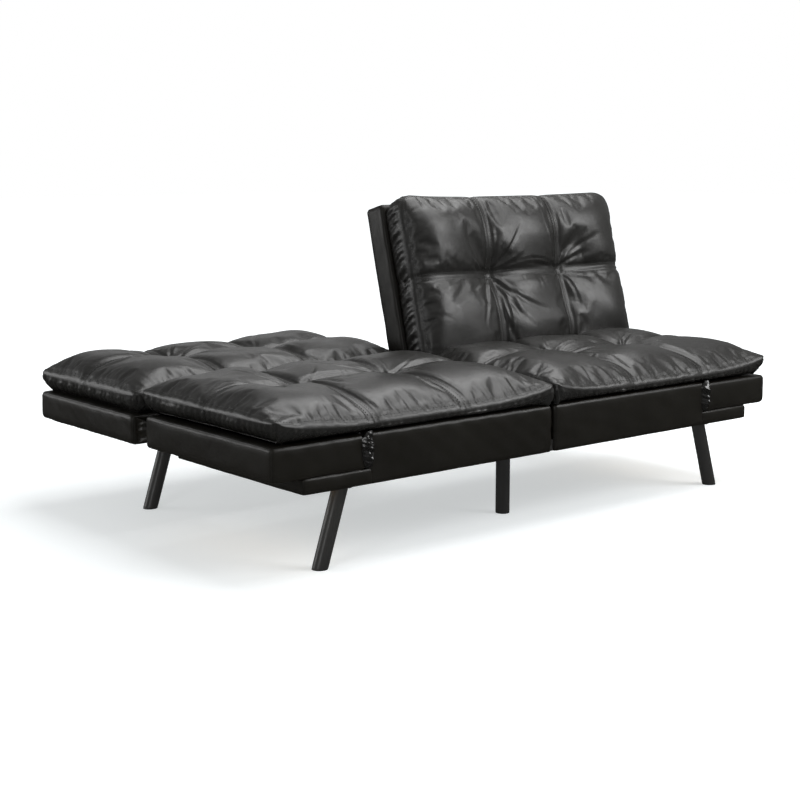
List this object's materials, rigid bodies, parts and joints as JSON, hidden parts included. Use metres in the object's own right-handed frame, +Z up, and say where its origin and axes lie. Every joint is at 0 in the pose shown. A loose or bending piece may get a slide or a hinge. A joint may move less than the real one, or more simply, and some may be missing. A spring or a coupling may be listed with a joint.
{
  "type": "futon sofa bed",
  "caption": "Low split-back futon sofa bed with tufted black faux-leather cushions, reclining click-clack backs, fold-up arm panels and splayed round metal legs.",
  "frame": {"origin": "on the floor, under the middle of the outer box with the left back flat and the right back up", "axes": "+X along the length, to the right as seen from the front, +Y to the back, +Z up"},
  "size_m": [1.829, 1.194, 0.8796],
  "materials": {
    "black_faux_leather": "satin",
    "satin_black_steel": "satin",
    "zinc_steel": "satin",
    "wood": "matte",
    "foam": "matte",
    "dust_cloth": "matte",
    "black_plastic": "matte"
  },
  "bodies": {
    "base": {"centre_rail": "satin_black_steel", "click_springs": "zinc_steel", "dust_covers": "dust_cloth", "front_rail": "satin_black_steel", "glide_centre": "black_plastic", "glide_front_left": "black_plastic", "glide_front_right": "black_plastic", "glide_rear_left": "black_plastic", "glide_rear_right": "black_plastic", "hinge_pins": "zinc_steel", "ledge_boards": "wood", "left_arm_fixed_leaf": "zinc_steel", "left_inner_fixed_bracket": "zinc_steel", "left_ledge_cover": "black_faux_leather", "left_outer_fixed_bracket": "zinc_steel", "left_seat_casing": "black_faux_leather", "left_seat_cover": "black_faux_leather", "left_seat_foam": "foam", "left_seat_frame": "wood", "left_side_rail": "satin_black_steel", "leg_bolts": "zinc_steel", "leg_centre": "satin_black_steel", "leg_front_left": "satin_black_steel", "leg_front_right": "satin_black_steel", "leg_rear_left": "satin_black_steel", "leg_rear_right": "satin_black_steel", "rear_rail": "satin_black_steel", "right_arm_fixed_leaf": "zinc_steel", "right_inner_fixed_bracket": "zinc_steel", "right_ledge_cover": "black_faux_leather", "right_outer_fixed_bracket": "zinc_steel", "right_seat_casing": "black_faux_leather", "right_seat_cover": "black_faux_leather", "right_seat_foam": "foam", "right_seat_frame": "wood", "right_side_rail": "satin_black_steel", "seat_bracket_screws": "zinc_steel", "seat_springs": "zinc_steel"},
    "left_arm": {"left_arm_casing": "black_faux_leather", "left_arm_cover": "black_faux_leather", "left_arm_foam": "foam", "left_arm_frame": "wood", "left_arm_moving_leaf": "zinc_steel"},
    "left_back": {"left_back_brackets": "zinc_steel", "left_back_casing": "black_faux_leather", "left_back_cover": "black_faux_leather", "left_back_foam": "foam", "left_back_frame": "wood", "left_bracket_screws": "zinc_steel"},
    "right_arm": {"right_arm_casing": "black_faux_leather", "right_arm_cover": "black_faux_leather", "right_arm_foam": "foam", "right_arm_frame": "wood", "right_arm_moving_leaf": "zinc_steel"},
    "right_back": {"right_back_brackets": "zinc_steel", "right_back_casing": "black_faux_leather", "right_back_cover": "black_faux_leather", "right_back_foam": "foam", "right_back_frame": "wood", "right_bracket_screws": "zinc_steel"}
  },
  "joints": [
    {"name": "left_back_recline", "type": "hinge", "parent": "base", "child": "left_back", "pos_m": [-0.46, 0.029, 0.309], "axis": [1, 0, 0], "range_deg": [0, 78.5]},
    {"name": "right_back_recline", "type": "hinge", "parent": "base", "child": "right_back", "pos_m": [0.46, 0.029, 0.309], "axis": [1, 0, 0], "range_deg": [-75.5, 3]},
    {"name": "left_arm_raise", "type": "hinge", "parent": "base", "child": "left_arm", "pos_m": [-0.635, -0.307, 0.326], "axis": [0, 1, 0], "range_deg": [0, 80]},
    {"name": "right_arm_raise", "type": "hinge", "parent": "base", "child": "right_arm", "pos_m": [0.635, -0.307, 0.326], "axis": [0, -1, 0], "range_deg": [0, 80]}
  ]
}
